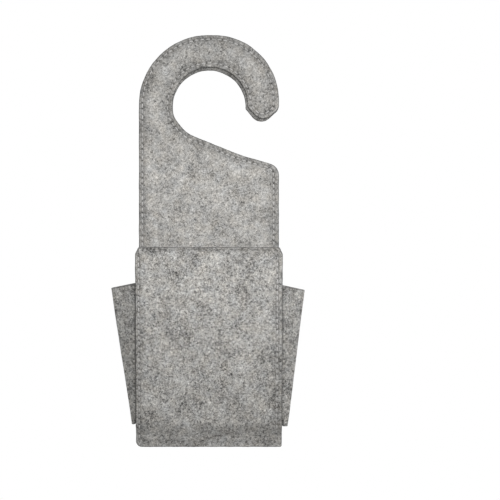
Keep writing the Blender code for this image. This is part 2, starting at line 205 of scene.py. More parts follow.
# Stations across a flange, from its seam towards its free edge and towards its bend
STEPS_TO_FREE_EDGE = (0.0027, 0.0020, 0.0014, 0.0009, 0.0005, 0.0002)
STEPS_TO_BEND = (0.0001, 0.0004, 0.0008, 0.0013, 0.0019, 0.0027)
BEND_STEPS = 4
LEAF_STEPS = 10
FOLD_STEPS = 5

# Felt's look: sizes in millimetres and noise scales in waves per millimetre
MILLIMETRES = 1000.0
WARP_SCALE = 0.3
WARP_DETAIL = 3.0
WARP_PUSH = 3.6
# Directions in degrees, length, width, noise detail, usual value of the palest of these fibres,
# and weights of the palest and of the darkest
FIBRES = {
    "coarse": ((12, 71, 133), 3.4, 1.0, 2.0, 0.585, 0.9, 0.85),
    "middle": ((35, 96, 157), 2.6, 0.48, 2.0, 0.585, 1.25, 1.25),
    "fine": ((4, 49, 92, 139), 2.2, 0.13, 1.0, 0.6, 1.0, 1.0),
}
# Noise scale, detail, roughness and weight
MOTTLES = {
    "clumps": (0.5, 4.0, 0.62, 1.0),
    "patches": (0.15, 3.0, 0.55, 0.4),
    "blotches": (0.05, 2.0, 0.5, 0.6),
}
RELIEF_HEIGHTS = {"fine": 0.5, "middle": 0.8, "clumps": 0.9}
NOISE_MIDDLE = 0.5
LEAST_TONE = 0.12
# Share of tone lost at a cut: painted shade together with the cut's denser felt
CUT_DENSITY_AND_SHADE_SHARE = 0.85
HUE_SCALE = 0.12
HUE_DETAIL = 3.0
WARM_SHARES = (1.05, 1.0, 0.93)
COOL_SHARES = (0.95, 1.0, 1.07)
FELT_BUMP = {"Strength": 0.55, "Distance": 0.0006}
FELT_SHADER = {
    "Roughness": 0.93,
    "Specular IOR Level": 0.18,
    "Sheen Weight": 0.22,
    "Sheen Roughness": 0.55,
}
PANEL_COLOUR = (0.373, 0.3645, 0.348)
POCKET_COLOUR = (0.362, 0.354, 0.338)
# The gussets' felt is the same felt, coloured darker: painted shade on the turned wings
SHADED_GUSSET_COLOUR = (0.322, 0.315, 0.3)

# Thread's look
THREAD_COLOUR = (0.62, 0.61, 0.595)
SPECK_SCALE = 2600.0
SPECK_DETAIL = 3.0
SPECK_WEIGHT = 0.7
# Tone in the grooves between plies and on their crests: painted shade in the grooves
PLY_SHADE_TONES = (0.55, 1.1)
THREAD_BUMP = {"Strength": 0.4, "Distance": 0.0002}
THREAD_SHADER = {"Roughness": 0.62, "Sheen Weight": 0.15}

# Lights and background
AMBIENT = 0.25
POOL_PLACE = (0.1, -1.1, 0.12)
POOL_TARGET = (0.014, 0, -0.101)
POOL_RADIUS = 0.1
POOL_CONE = math.radians(28.5)
POOL_POWER = 35.6
# Name, place, size and power
SIDE_LAMPS = (
    ("upper_right_lamp", (0.45, -0.75, 0.6), 0.3, 4.0),
    ("rear_lamp", (0.5, 1.3, 0.3), 0.9, 11.0),
)
FLOOR_HEIGHT = -0.62
FLOOR_HALF_WIDTH = 1.15
FLOOR_COLOUR = (0.86, 0.86, 0.85, 1)
FLOOR_ROUGHNESS = 0.8
WHITE = (1, 1, 1, 1)

# The photograph's frame
FRAME_PIXELS = 500
PIXEL = 0.00085
ORIGIN_PIXEL_X = 208.9
ORIGIN_PIXEL_Y = 105.0
CAMERA_DISTANCE = 2.5
SENSOR = 36.0

RANDOM = random.Random(7)


# Outlines


def corner_ways(corners):
    """Each corner's place and radius, and the directions of the sides into and out of it."""
    places = [Vector(corner[:2]) for corner in corners]
    ways = []
    for index, (here, corner) in enumerate(zip(places, corners)):
        way_in = (here - places[index - 1]).normalized()
        way_out = (places[(index + 1) % len(places)] - here).normalized()
        ways.append((here, corner[2], way_in, way_out))
    return ways


def inset_corners(corners, inset):
    """Move every side of a clockwise outline inwards, and change the corner radii to match."""
    moved = []
    for here, radius, way_in, way_out in corner_ways(corners):
        inward_in = Vector((way_in.y, -way_in.x))
        inward_out = Vector((way_out.y, -way_out.x))
        middle = inward_in + inward_out
        corner = here + middle * (2 * inset / middle.length_squared)
        convex = way_in.x * way_out.y - way_in.y * way_out.x < 0
        new_radius = radius - inset if convex else radius + inset
        moved.append((corner.x, corner.y, max(new_radius, LEAST_CORNER_RADIUS)))
    return moved


def corner_arcs(corners):
    """Start, centre, signed turn and radius of the arc at each corner."""
    arcs = []
    for here, radius, way_in, way_out in corner_ways(corners):
        side = math.copysign(1, way_in.x * way_out.y - way_in.y * way_out.x)
        turn = way_in.angle(way_out) * side
        start = here - way_in * radius * math.tan(abs(turn) / 2)
        centre = start + Vector((-way_in.y, way_in.x)) * side * radius
        arcs.append((start, centre, turn, radius))
    return arcs


def arc_point(arc, share):
    start, centre, turn, radius = arc
    arm = start - centre
    arm.rotate(Matrix.Rotation(turn * share, 2))
    return centre + arm


def count_steps(corners):
    """Steps on each corner's arc and on the side after it, about EDGE_STEP long."""
    arcs = corner_arcs(corners)
    steps = []
    for arc, following in zip(arcs, arcs[1:] + arcs[:1]):
        turn, radius = arc[2:]
        arc_steps = max(LEAST_ARC_STEPS, math.ceil(abs(turn) * radius / EDGE_STEP))
        side_length = (following[0] - arc_point(arc, 1)).length
        side_steps = 0 if side_length < SAME_POINT else math.ceil(side_length / EDGE_STEP)
        steps.append((arc_steps, side_steps))
    return steps


def ring_points(corners, steps):
    """Points round an outline, with given numbers of steps, so that insets of it match."""
    arcs = corner_arcs(corners)
    points = []
    for index, (arc, (arc_steps, side_steps)) in enumerate(zip(arcs, steps)):
        points += [arc_point(arc, step / arc_steps) for step in range(arc_steps)]
        end = arc_point(arc, 1)
        target = arcs[(index + 1) % len(arcs)][0]
        points += [end.lerp(target, step / side_steps) for step in range(side_steps)]
    return np.array([(point.x, point.y) for point in points])


def hook_corners(overcut):
    """Corners of one back layer, clockwise seen from the front, from the bottom left.

    With an overcut of 1 the eye and the tip are cut back as on the front layer, with 0 not at all."""
    radius = EYE_RADIUS + EYE_OVERCUT * overcut
    shift = EYE_SHIFT + EYE_OVERCUT_ACROSS * overcut
    rise = EYE_RISE + EYE_OVERCUT_UP * overcut
    tip_end_x = HOOK_RADIUS - HOOK_ARM * (1 - TIP_END_ACROSS_SHARE) + TIP_OVERCUT_ACROSS * overcut
    tip_end_z = -HOOK_ARM * TIP_END_DROP_SHARE + TIP_OVERCUT_UP * overcut
    start_x, start_z, start_radius = (EYE_RADIUS * share for share in SHOULDER_START_SHARES)
    bend_x = HOOK_RADIUS * SHOULDER_BEND_ACROSS_SHARE
    return [
        (-HOOK_RADIUS, PANEL_BOTTOM, BOTTOM_LEFT_RADIUS),
        (-HOOK_RADIUS, HOOK_RADIUS, HOOK_RADIUS),
        (HOOK_RADIUS, HOOK_RADIUS, HOOK_RADIUS * RIGHT_ROUND_SHARE),
        (HOOK_RADIUS, -TIP_OUTER_DROP, TIP_OUTER_DROP * TIP_OUTER_RADIUS_SHARE),
        (tip_end_x, tip_end_z, HOOK_ARM * TIP_END_RADIUS_SHARE),
        (shift + radius, rise - TIP_INNER_DROP, TIP_INNER_DROP * TIP_INNER_RADIUS_SHARE),
        (shift + radius, rise + radius, radius),
        (shift - radius, rise + radius, radius),
        (shift - radius, -EYE_RADIUS * THROAT_DROP_SHARE, EYE_RADIUS * THROAT_RADIUS_SHARE),
        (start_x, start_z, start_radius),
        (bend_x, -EYE_RADIUS * SHOULDER_BEND_DROP_SHARE, EYE_RADIUS * SHOULDER_BEND_RADIUS_SHARE),
        (HOOK_RADIUS, -EYE_RADIUS * SHOULDER_END_DROP_SHARE, EYE_RADIUS * SHOULDER_END_RADIUS_SHARE),
        (HOOK_RADIUS, PANEL_BOTTOM, BOTTOM_RIGHT_RADIUS),
    ]


def pocket_corners():
    cut_z = POCKET_LENGTH - CORNER_CUT_DOWN
    cut_x = HINGE_X - CORNER_CUT_ACROSS
    return [
        (-HINGE_X, -HINGE_RISE, BOTTOM_LEFT_RADIUS),
        (-HINGE_X, cut_z, CORNER_CUT_RADIUS),
        (-cut_x, POCKET_LENGTH, CORNER_CUT_RADIUS),
        (cut_x, POCKET_LENGTH, CORNER_CUT_RADIUS),
        (HINGE_X, cut_z, CORNER_CUT_RADIUS),
        (HINGE_X, -HINGE_RISE, BOTTOM_RIGHT_RADIUS),
    ]


def outline_area(corners):
    ring = ring_points(corners, count_steps(corners))
    x, z = ring[:, 0], ring[:, 1]
    return abs(float(np.dot(x, np.roll(z, -1)) - np.dot(z, np.roll(x, -1)))) / 2


# Seams in flat coordinates: a seam is a list of its needle holes


def needle_holes(points):
    """Holes one stitch apart along a line of points."""
    points = np.asarray(points, float)
    lengths = np.concatenate([[0], np.cumsum(np.linalg.norm(np.diff(points, axis=0), axis=1))])
    count = max(1, round(lengths[-1] / STITCH_PITCH))
    wanted = np.linspace(0, lengths[-1], count + 1)
    return np.column_stack([np.interp(wanted, lengths, points[:, axis]) for axis in (0, 1)])


def seam_tree(seams, per_stitch):
    """A tree of points along seams, with so many points for each stitch."""
    places = []
    for holes in seams:
        for before, after in zip(holes, holes[1:]):
            places += [before + (after - before) * step / per_stitch for step in range(per_stitch)]
        places.append(holes[-1])
    tree = kdtree.KDTree(max(1, len(places)))
    for index, place in enumerate(places):
        tree.insert((place[0], place[1], 0), index)
    tree.balance()
    return tree


def fall_off(distance, reach):
    return math.exp(-((distance / reach) ** 2))


class Pressing:
    """How far seams press the felt in, and how near each point is to a needle hole."""

    def __init__(self, seams, shade_reach):
        self.used = bool(seams)
        self.shade_reach = shade_reach
        self.lines = seam_tree(seams, LINE_POINTS_PER_STITCH)
        self.holes = seam_tree(seams, 1)
        self.strengths = [RANDOM.uniform(*HOLE_SHARES) for _ in range(sum(map(len, seams)))]

    def at(self, u, v):
        """How deep the felt is pressed in, and its shares of painted shade in the seam's valley and in a
        needle hole.
        """
        if not self.used:
            return 0.0, 0.0, 0.0
        line = self.lines.find((u, v, 0))[2]
        if line > PRESS_END_REACHES * self.shade_reach:
            return 0.0, 0.0, 0.0
        _, index, distance = self.holes.find((u, v, 0))
        hole = self.strengths[index] * fall_off(distance, HOLE_REACH)
        pressed = PRESS_DEPTH * fall_off(line, PRESS_REACH) + HOLE_DEPTH * hole
        return pressed, fall_off(line, self.shade_reach), hole


def waves(u, v, seed, table):
    """A sum of smooth noise at several wavelengths."""
    return sum(size * noise.noise(Vector((u / length, v / length, seed))) for length, size in table)


# Meshes


def band_faces(first, rings, count):
    """Faces between rings of so many points each, numbered one after another from the first."""
    faces = []
    for ring in range(rings - 1):
        low, high = first + ring * count, first + (ring + 1) * count
        for index in range(count):
            after = (index + 1) % count
            faces.append((low + index, low + after, high + after, high + index))
    return faces


def link_thing(name, data):
    thing = bpy.data.objects.new(name, data)
    bpy.context.scene.collection.objects.link(thing)
    return thing


def smooth_thing(name, points, faces, tones, material):
    """A smooth closed mesh, with named values at its points for the material."""
    mesh = bpy.data.meshes.new(name)
    mesh.from_pydata(points, [], faces)
    for label, values in tones.items():
        mesh.attributes.new(label, "FLOAT", "POINT").data.foreach_set("value", values)
    shell = bmesh.new()
    shell.from_mesh(mesh)
    bmesh.ops.recalc_face_normals(shell, faces=shell.faces)
    shell.to_mesh(mesh)
    shell.free()
    mesh.shade_smooth()
    mesh.materials.append(material)
    return link_thing(name, mesh)


def felt_thing(name, points, flat, faces, cut, seamed, holes, material):
    """A felt mesh that keeps its flat place (across, along, height) for the material."""
    # Values for the material's darkening: painted shade with the denser felt at cuts, painted shade in
    # seam valleys and needle holes
    tones = {"cut_density_and_shade": cut, "seam_valley_shade": seamed, "needle_hole": holes}
    thing = smooth_thing(name, points, faces, tones, material)
    thing.data.set_sharp_from_angle(angle=SHARP_ANGLE)
    places = thing.data.attributes.new("felt_place", "FLOAT_VECTOR", "POINT")
    places.data.foreach_set("vector", np.asarray(flat, float).ravel())
    return thing


# Felt sheets cut to an outline


def edge_profile():
    """(inset, height) of each ring: detailed face, round the cut edge, then the plain face."""
    corner = []
    for step in range(ROUND_STEPS + 1):
        angle = math.pi / 2 * step / ROUND_STEPS
        inset = EDGE_ROUND * (1 - math.sin(angle))
        corner.append((inset, FELT / 2 - EDGE_ROUND * (1 - math.cos(angle))))
    wall = FELT / 2 - EDGE_ROUND
    rows = [(inset, FELT / 2) for inset in DETAILED_INSETS] + corner
    rows += [(0.0, wall / 2), (0.0, 0.0), (0.0, -wall / 2)]
    rows += [(inset, -height) for inset, height in reversed(corner)]
    rows += [(inset, -FELT / 2) for inset in reversed(PLAIN_INSETS)]
    return rows


def inside_ring(points, ring):
    """Which points lie inside a closed ring, by counting crossings."""
    inside = np.zeros(len(points), bool)
    for (x0, z0), (x1, z1) in zip(ring, np.roll(ring, -1, axis=0)):
        if z0 == z1:
            continue
        between = (points[:, 1] > min(z0, z1)) & (points[:, 1] <= max(z0, z1))
        crossing = x0 + (points[:, 1] - z0) / (z1 - z0) * (x1 - x0)
        inside ^= between & (points[:, 0] < crossing)
    return inside


def fill_ring(ring):
    """Extra points inside a ring and the triangles that fill it, numbered ring first."""
    low, high = ring.min(axis=0), ring.max(axis=0)
    row_step = GRID_STEP * math.sqrt(3) / 2
    grid = []
    for row in range(int((high[1] - low[1]) / row_step)):
        shift = GRID_STEP / 2 * (row % 2)
        for column in range(int((high[0] - low[0]) / GRID_STEP) + 1):
            nudge = [RANDOM.uniform(-GRID_NUDGE_SHARE, GRID_NUDGE_SHARE) * GRID_STEP for _ in (0, 1)]
            x = low[0] + shift + column * GRID_STEP + nudge[0]
            grid.append((x, low[1] + row * row_step + nudge[1]))
    grid = np.array(grid)
    grid = grid[inside_ring(grid, ring)]
    tree = kdtree.KDTree(len(ring))
    for index, (x, z) in enumerate(ring):
        tree.insert((x, z, 0), index)
    tree.balance()
    clear = [tree.find((x, z, 0))[2] > GRID_STEP * GRID_CLEAR_SHARE for x, z in grid]
    grid = grid[np.array(clear, bool)]
    points = [Vector(point) for point in ring] + [Vector(point) for point in grid]
    edges = [(index, (index + 1) % len(ring)) for index in range(len(ring))]
    filled = geometry.delaunay_2d_cdt(points, edges, [], 1, SAME_POINT / 10)
    numbers = [sources[0] if sources else -1 for sources in filled[3]]
    triangles = [tuple(numbers[corner] for corner in face) for face in filled[2]]
    return grid, [face for face in triangles if min(face) >= 0]


def edge_density_and_shade_share(inset):
    """Painted shade, with the cut's denser felt, on a face this far from its cut: most where it turns
    over, less on the cut itself.
    """
    return WALL_DENSITY_AND_SHADE_SHARE if inset < SAME_POINT else 1 - inset / CUT_FADE


def felt_sheet(
    name, corners, seams, place, material, seed, rim_shade_share=0.0, shade_reach=PRESS_SHADE_REACH
):
    """A felt sheet cut to an outline. Its detailed face is pressed in along the seams.

    The rim shade share paints shade on its plain face as far in as the last ring there."""
    steps = count_steps(corners)
    pressing = Pressing(seams, shade_reach)
    base = ring_points(corners, steps)
    wobble = np.array([waves(x, z, seed, WOBBLE_WAVES) for x, z in base]) * EDGE_WOBBLE
    count = len(base)
    rows = edge_profile()
    flat, cut = [], []
    for inset, height in rows:
        ring = ring_points(inset_corners(corners, inset), steps)
        inner = ring_points(inset_corners(corners, inset + EDGE_ROUND), steps)
        nearness = max(0.0, 1 - inset / EDGE_WOBBLE_REACH)
        layered = wobble * (1 + height / FELT) * nearness
        ring = ring + (inner - ring) / EDGE_ROUND * layered[:, None]
        flat += [(x, z, height) for x, z in ring]
        # Painted shade on the rear layer's plain rim, where it shows behind the front layer
        rim = rim_shade_share if height < 0 and inset < PLAIN_INSETS[0] else 0.0
        cut += [max(rim, edge_density_and_shade_share(inset))] * count
    faces = band_faces(0, len(rows), count)
    last_row = (len(rows) - 1) * count
    inner_ring = np.array([point[:2] for point in flat[:count]])
    grid, triangles = fill_ring(inner_ring)
    for height, ring_start in ((FELT / 2, 0), (-FELT / 2, last_row)):
        grid_start = len(flat) - count
        flat += [(x, z, height) for x, z in grid]
        cut += [0.0] * len(grid)
        for triangle in triangles:
            faces.append([ring_start + n if n < count else grid_start + n for n in triangle])
    shaped, seamed, holes = [], [], []
    for u, v, height in flat:
        share = abs(height) / (FELT / 2)
        face = math.copysign(1, height)
        pressed, near, hole = pressing.at(u, v) if height > 0 else (0.0, 0.0, 0.0)
        rise = waves(u, v, seed + face, RELIEF_WAVES) - pressed
        shaped.append((u, v, height + rise * share * face))
        seamed.append(near * share)
        holes.append(hole * share)
    points = [place(u, v, h) for u, v, h in shaped]
    return felt_thing(name, points, shaped, faces, cut, seamed, holes, material)


# Thread


def stitch_path(start, end, sunk, place, felt_height):
    """Centre, sideways direction and upward direction of the thread at stations along a stitch."""
    centres = []
    for share, height in STITCH_SHARES:
        u, v = start + (end - start) * share
        level = felt_height - PRESS_DEPTH + (height - sunk) * THREAD_HALF_HEIGHT
        centres.append((place(u, v, level), place(u, v, level + THREAD_HALF_HEIGHT)))
    path = []
    for index, (centre, above) in enumerate(centres):
        ahead = centres[min(index + 1, len(centres) - 1)][0]
        behind = centres[max(index - 1, 0)][0]
        way = (ahead - behind).normalized()
        across = way.cross((above - centre).normalized()).normalized()
        path.append((centre, across, across.cross(way).normalized()))
    return path


def sew(name, seams, place, felt_height, material, tone_shares=STITCH_TONE_SHARES):
    """Twisted thread along seams in flat coordinates: one arched stitch between every two holes."""
    points, faces, lobes, tones = [], [], [], []
    for holes in seams:
        for before, after in zip(holes, holes[1:]):
            drift = [RANDOM.uniform(-1, 1) * THREAD_SIDEWAYS for _ in (0, 1)]
            sideways = np.array([-(after - before)[1], (after - before)[0]])
            sideways = sideways / np.linalg.norm(sideways)
            start = before + sideways * drift[0]
            end = after + sideways * drift[1]
            fullness = RANDOM.uniform(*STITCH_FULLNESS_SHARES)
            sunk = RANDOM.uniform(*STITCH_SUNK_SHARES)
            tone = RANDOM.uniform(*tone_shares)
            path = stitch_path(start, end, sunk, place, felt_height)
            rings = len(path)
            faces += band_faces(len(points), rings, THREAD_SIDES)
            for cap in (len(points), len(points) + (rings - 1) * THREAD_SIDES):
                faces.append(tuple(range(cap, cap + THREAD_SIDES)))
            length = float(np.linalg.norm(end - start))
            for (share, _), (centre, across, up) in zip(STITCH_SHARES, path):
                phase = 2 * math.pi * (share * length) / THREAD_TWIST_LENGTH
                for corner in range(THREAD_SIDES):
                    angle = 2 * math.pi * corner / THREAD_SIDES
                    lobe = 1 + THREAD_LOBE_SHARE * math.cos(2 * (angle - phase))
                    out = across * math.cos(angle) * THREAD_HALF_WIDTH * fullness * lobe
                    out += up * math.sin(angle) * THREAD_HALF_HEIGHT * lobe
                    points.append(centre + out)
                    lobes.append(lobe)
                    tones.append(tone)
    return smooth_thing(name, points, faces, {"thread_lobe": lobes, "stitch_tone": tones}, material)


# Back panel


def front_layer_place(u, v, h):
    return Vector((u, (FRONT_LAYER_LOW.y + FRONT_LAYER_HIGH.y) / 2 - h, v))


def rear_layer_place(u, v, h):
    return Vector((u, (REAR_LAYER_LOW.y + REAR_LAYER_HIGH.y) / 2 + h, v))


def panel_seam():
    """The front layer's edge seam: up the left side, round the hook and down to the right gusset."""
    corners = inset_corners(hook_corners(1), SEAM_INSET)
    ring = ring_points(corners, count_steps(corners))
    low_end = HINGE.z + flange_top(FLANGE_WIDTH) + STITCH_PITCH
    seam_x = HOOK_RADIUS - SEAM_INSET
    left_start = int(np.argmin(np.abs(ring[:, 0] + seam_x) + np.abs(ring[:, 1] - low_end)))
    right_end = int(np.argmin(np.abs(ring[:, 0] - seam_x) + np.abs(ring[:, 1] - low_end)))
    return [needle_holes(ring[left_start:right_end] + (SEAM_SHIFT, 0))]


def rear_seam():
    corners = inset_corners(hook_corners(0), SEAM_INSET)
    ring = ring_points(corners, count_steps(corners))
    return [needle_holes(np.vstack([ring, ring[:1]]))]


# Pocket sheet


def smooth(share):
    share = min(max(share, 0.0), 1.0)
    return share * share * (3 - 2 * share)


def pocket_place(u, v, h):
    """The pocket sheet: sewn flat on the panel below the hinge line, then leaning forward."""
    share = min(max(v / BELLY_LENGTH, 0.0), 1.0)
    rise = POCKET_MIDDLE - SEWN_MIDDLE
    slope = rise / BELLY_LENGTH * 6 * share * (1 - share)
    size = math.hypot(1, slope)
    crown = POCKET_CROWN * (1 - (u / HINGE_X) ** 2) * math.sin(math.pi * min(max(v / POCKET_LENGTH, 0), 1))
    depth = SEWN_MIDDLE + rise * smooth(share) + crown + h / size
    along = v - h * slope / size
    upright = Vector((u, HINGE.y - depth, HINGE.z + along))
    bent = smooth(0.5 + v / BEND_LENGTH / 2)
    turn = LEAN * bent
    forward = depth * math.cos(turn) + along * math.sin(turn)
    upward = along * math.cos(turn) - depth * math.sin(turn)
    leaning = Vector((u, HINGE.y - forward, HINGE.z + upward))
    return upright.lerp(leaning, bent)


def pocket_seams():
    """Both side seams, the mouth's row and the bottom seam."""
    side_x = HINGE_X - SEAM_INSET
    bottom = POCKET_SEAM_RISE - HINGE_RISE
    mouth = POCKET_LENGTH - MOUTH_SEAM_INSET
    corner = STITCH_PITCH / 2
    sides = [
        needle_holes([(x, bottom + corner), (x, mouth - STITCH_PITCH)])
        for x in (SEAM_SHIFT - side_x, SEAM_SHIFT + side_x)
    ]
    mouth_row = needle_holes([(-side_x + corner, mouth), (side_x - corner, mouth)])
    bottom_row = needle_holes([(-side_x + corner, bottom), (side_x - corner, bottom)])
    return sides, mouth_row, bottom_row


# Gussets


def flange_top(offset):
    """Height of the gusset's cut top above the hinge line, this far in from the seam line."""
    return GUSSET_FOLD_LENGTH / math.cos(GUSSET_HALF_ANGLE) + offset * math.tan(GUSSET_HALF_ANGLE)


class Gusset:
    """Lines and planes of one side's folded felt, and the place of any point of it.

    A point is named by its half (rear or front), the part of that half, how far along that part
    it lies, its distance v along the fold, and its height h above the inner face."""

    def __init__(self, side, drifts):
        self.side = side
        self.low_drift, self.top_drift = drifts
        self.out = Vector((side, 0, 0))
        self.foot = Vector((side * HINGE_X, HINGE.y, HINGE.z))
        self.fold = Vector((side * RIGHT_FOLD.x, RIGHT_FOLD.y, RIGHT_FOLD.z))
        self.edge = {
            "rear": Vector((0, 0, 1)),
            "front": Vector((0, -math.sin(LEAN), math.cos(LEAN))),
        }
        self.flange_normal = {
            "rear": Vector((0, 1, 0)),
            "front": Vector((0, -math.cos(LEAN), -math.sin(LEAN))),
        }
        self.across, self.normal = {}, {}
        for half, edge in self.edge.items():
            self.across[half] = (edge - self.fold * edge.dot(self.fold)).normalized()
        for half, other in (("rear", "front"), ("front", "rear")):
            normal = self.fold.cross(self.across[half])
            self.normal[half] = -normal if normal.dot(self.across[other]) > 0 else normal
        self.inward = (self.across["rear"] + self.across["front"]).normalized()
        self.opening = self.across["rear"].angle(self.across["front"])
        self.bend = self.flange_normal["rear"].angle(self.normal["rear"])
        self.bend_offset = SEAM_INNER_RADIUS * math.tan(self.bend / 2)
        self.fold_offset = FOLD_INNER_RADIUS / math.tan(self.opening / 2)

    def turned(self, half, angle):
        """The flange's normal turned towards the leaf's, by this angle."""
        start, end = self.flange_normal[half], self.normal[half]
        sideways = (end - start * end.dot(start)).normalized()
        return start * math.cos(angle) + sideways * math.sin(angle)

    def drift(self, v):
        """How far the fold stands out of its straight line, this far along it."""
        share = smooth((v - GUSSET_FOOT) / (GUSSET_FOLD_LENGTH - GUSSET_FOOT))
        return self.out * (self.low_drift + (self.top_drift - self.low_drift) * share)

    def point(self, half, part, amount, v, h):
        edge, flange_normal = self.edge[half], self.flange_normal[half]
        steep = math.tan(GUSSET_HALF_ANGLE)
        seam_height = v / math.cos(GUSSET_HALF_ANGLE)
        if part == "flange":
            base = self.foot + edge * (seam_height + amount * steep) - self.out * amount
            return base + flange_normal * (LAYER_GAP / 2 + h)
        if part == "bend":
            height = seam_height + self.bend_offset * steep * (1 - 2 * amount)
            centre = self.foot + edge * height - self.out * self.bend_offset
            centre -= flange_normal * SEAM_INNER_RADIUS
            reach = SEAM_INNER_RADIUS + LAYER_GAP / 2 * (1 - amount) + h
            return centre + self.turned(half, self.bend * amount) * reach
        fold_point = self.foot + self.fold * v
        if part == "leaf":
            width = v * steep
            wide = width - self.bend_offset / math.cos(GUSSET_HALF_ANGLE)
            place = wide + (self.fold_offset - wide) * amount
            leaf_point = fold_point + self.across[half] * place + self.normal[half] * h
            return leaf_point + self.drift(v) * amount
        centre = fold_point + self.inward * FOLD_INNER_RADIUS / math.sin(self.opening / 2)
        start, end = self.normal[half], -self.inward
        sideways = (end - start * end.dot(start)).normalized()
        angle = (math.pi - self.opening) / 2 * amount
        normal = start * math.cos(angle) + sideways * math.sin(angle)
        return centre + normal * (FOLD_INNER_RADIUS + h) + self.drift(v)

    def flat(self, half, part, amount, v):
        """Distance across the flat cut from the fold, negative on the rear half."""
        middle = FELT / 2
        fold_arc = (math.pi - self.opening) / 2 * (FOLD_INNER_RADIUS + middle)
        wide = v * math.tan(GUSSET_HALF_ANGLE) - self.bend_offset / math.cos(GUSSET_HALF_ANGLE)
        leaf = wide - self.fold_offset
        bend_arc = self.bend * (SEAM_INNER_RADIUS + middle)
        distance = {
            "fold": fold_arc * (1 - amount),
            "leaf": fold_arc + leaf * (1 - amount),
            "bend": fold_arc + leaf + bend_arc * (1 - amount),
            "flange": fold_arc + leaf + bend_arc + amount - self.bend_offset,
        }[part]
        return -distance if half == "rear" else distance


def spaced(low, high, step, fine):
    """Values from low to high about a step apart, with finer ones near both ends for a round edge."""
    ends = [fine * share for share in ROUNDING_SHARES]
    count = max(2, math.ceil((high - low - 2 * fine) / step))
    middle = [low + fine + (high - low - 2 * fine) * index / count for index in range(1, count)]
    return [low + end for end in ends] + middle + [high - end for end in reversed(ends)]


def flange_stations(half, bend_offset):
    """Stations across a sewn flange, from its free edge to its bend, closer at the seam."""
    offsets = [FLANGE_WIDTH - EDGE_ROUND * share for share in ROUNDING_SHARES]
    offsets += [FLANGE_SEAM_INSET + step for step in STEPS_TO_FREE_EDGE]
    offsets += [FLANGE_SEAM_INSET - step for step in STEPS_TO_BEND]
    stations = [(half, "flange", offset) for offset in offsets if offset > bend_offset]
    return stations + [(half, "bend", step / BEND_STEPS) for step in range(BEND_STEPS + 1)]


def gusset_sheet(name, gusset, stations, rows, seams, cut_start, material):
    """One stretch of a gusset's felt, from station to station across and row to row along."""
    pressing = Pressing(seams, PRESS_SHADE_REACH)
    seed = GUSSET_SEED + gusset.side
    flat, spots, faces, cut, seamed, holes = [], [], [], [], [], []
    low, high = rows[0], rows[-1]
    for face_height in (0.0, FELT):
        for half, part, amount in stations:
            for row in rows:
                u = gusset.flat(half, part, amount, row)
                inset = min(row - low, high - row)
                slanted = max(0.0, u) * math.tan(FRONT_TOP_SLANT)
                v = row + slanted * smooth((row - high + GUSSET_TOP_ZONE) / GUSSET_TOP_ZONE)
                if cut_start:
                    inset = min(inset, abs(u - gusset.flat(*stations[0], v)))
                short = max(0.0, EDGE_ROUND - inset)
                drop = EDGE_ROUND - math.sqrt(EDGE_ROUND**2 - short**2)
                sewn = face_height == 0 and part == "flange"
                pressed, near, hole = pressing.at(u, v) if sewn else (0.0, 0.0, 0.0)
                rise = waves(u, v, seed + face_height / FELT, RELIEF_WAVES) - pressed - drop
                height = face_height + rise if face_height else -rise
                spots.append(gusset.point(half, part, amount, v, height))
                flat.append((u, v, height))
                # Painted shade in the crease at each sewn bend
                crease = CREASE_SHADE_SHARE * (1 - amount) if part == "bend" else 0.0
                cut.append(max(crease, edge_density_and_shade_share(inset)))
                seamed.append(near)
                holes.append(hole)
    across, along = len(stations), len(rows)
    size = across * along

    def number(layer, column, row):
        return layer * size + column * along + row

    for layer in (0, 1):
        for column in range(across - 1):
            for row in range(along - 1):
                quad = [number(layer, column, row), number(layer, column + 1, row)]
                faces.append(quad + [number(layer, column + 1, row + 1), number(layer, column, row + 1)])
    rim = [(column, 0) for column in range(across)] + [(across - 1, row) for row in range(1, along)]
    rim += [(column, along - 1) for column in range(across - 2, -1, -1)]
    rim += [(0, row) for row in range(along - 2, 0, -1)]
    for (column, row), (next_column, next_row) in zip(rim, rim[1:] + rim[:1]):
        quad = [number(0, column, row), number(0, next_column, next_row)]
        faces.append(quad + [number(1, next_column, next_row), number(1, column, row)])
    return felt_thing(name, spots, flat, faces, cut, seamed, holes, material)


# Materials


def add(tree, kind, inputs=(), **settings):
    """A shader node with its settings, and inputs that are sockets or plain values."""
    node = tree.nodes.new(kind)
    for label, value in settings.items():
        setattr(node, label, value)
    for key, value in dict(inputs).items():
        if isinstance(value, bpy.types.NodeSocket):
            tree.links.new(value, node.inputs[key])
        else:
            node.inputs[key].default_value = value
    return node


def calculate(tree, operation, first, second=0.0, third=0.0):
    inputs = {0: first, 1: second, 2: third}
    return add(tree, "ShaderNodeMath", inputs, operation=operation).outputs[0]


def add_offset(tree, total, value, middle, weight):
    """A total plus a value's weighted distance from its middle."""
    offset = calculate(tree, "SUBTRACT", value, middle)
    return calculate(tree, "MULTIPLY_ADD", offset, weight, total)


def combine(tree, operation, values):
    total = values[0]
    for value in values[1:]:
        total = calculate(tree, operation, total, value)
    return total


def vector_maths(tree, operation, vector, inputs):
    return add(tree, "ShaderNodeVectorMath", {0: vector, **inputs}, operation=operation).outputs[0]


def mesh_value(tree, label, output="Fac"):
    """A value that the mesh keeps at its points."""
    return add(tree, "ShaderNodeAttribute", attribute_name=label).outputs[output]


def noise_value(tree, vector, scale, detail, roughness=0.5):
    inputs = {"Vector": vector, "Scale": scale, "Detail": detail, "Roughness": roughness}
    return add(tree, "ShaderNodeTexNoise", inputs).outputs["Fac"]


